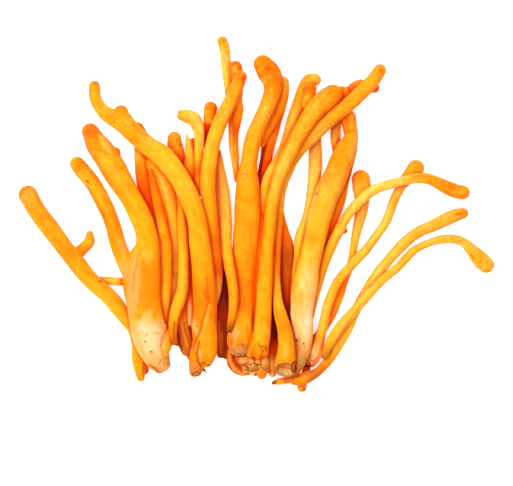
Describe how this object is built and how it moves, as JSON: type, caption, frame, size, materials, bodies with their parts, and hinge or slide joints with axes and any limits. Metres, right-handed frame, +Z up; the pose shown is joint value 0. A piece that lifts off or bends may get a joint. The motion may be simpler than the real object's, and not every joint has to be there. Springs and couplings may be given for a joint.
{
  "type": "cordyceps bunch",
  "caption": "Loose bunch of slender orange cordyceps clubs lying flat in a fan, with rounded grainy tips, bent stems and knobbly pale feet.",
  "frame": {"origin": "centre of the bunch's bounding box, on the flat surface it lies on", "axes": "+Z up from the surface, +Y from the feet of the clubs towards their tips, +X to the right across the fan when its tips point away from the viewer"},
  "size_m": [0.1429, 0.1068, 0.0129],
  "materials": {
    "orange_flesh": "satin, faintly grainy fungus flesh, a little translucent",
    "yellow_flesh": "satin, faintly grainy fungus flesh, a little translucent",
    "deep_orange_flesh": "satin, faintly grainy fungus flesh, a little translucent",
    "dark_red_flesh": "satin, faintly grainy fungus flesh, a little translucent",
    "cream_flesh": "satin, faintly grainy fungus flesh, a little translucent"
  },
  "bodies": {
    "root": {"far_left_cross_stem": "deep_orange_flesh", "far_left_club": "orange_flesh", "dark_left_back_stem": "dark_red_flesh", "left_shaded_stem": "deep_orange_flesh", "left_thin_stem": "orange_flesh", "left_broad_dark_foot": "dark_red_flesh", "left_peach_sliver": "cream_flesh", "left_round_red_tip": "deep_orange_flesh", "left_pointed_sliver": "orange_flesh", "brown_back_stem": "dark_red_flesh", "forked_club": "orange_flesh", "left_slim_stem": "yellow_flesh", "short_grainy_club": "deep_orange_flesh", "small_hooked_club": "yellow_flesh", "tall_pale_stem": "yellow_flesh", "red_capped_stem": "deep_orange_flesh", "curved_foot": "orange_flesh", "base_knobs": "cream_flesh", "centre_dark_club": "dark_red_flesh", "centre_side_club": "deep_orange_flesh", "big_centre_club": "orange_flesh", "slim_centre_stem": "yellow_flesh", "pale_leaning_club": "yellow_flesh", "long_left_club": "orange_flesh", "hooked_centre_club": "yellow_flesh", "small_dark_tip_club": "deep_orange_flesh", "dark_centre_back_stem": "dark_red_flesh", "pale_back_stem": "yellow_flesh", "right_dark_back_stem": "dark_red_flesh", "right_dark_club": "dark_red_flesh", "knob_headed_stem_left": "orange_flesh", "knob_headed_stem_right": "yellow_flesh", "arching_stem": "yellow_flesh", "short_grown_foot_stub": "orange_flesh", "pointed_root_left": "orange_flesh", "pointed_root_right": "deep_orange_flesh", "thin_diagonal_stem": "deep_orange_flesh", "lumpy_tip_club": "orange_flesh", "broad_cream_club": "orange_flesh", "small_leaning_lobe": "deep_orange_flesh", "long_diagonal_club": "orange_flesh", "front_leaning_club": "yellow_flesh", "right_curved_stem": "yellow_flesh", "far_right_hooked_stem": "orange_flesh"}
  },
  "joints": []
}
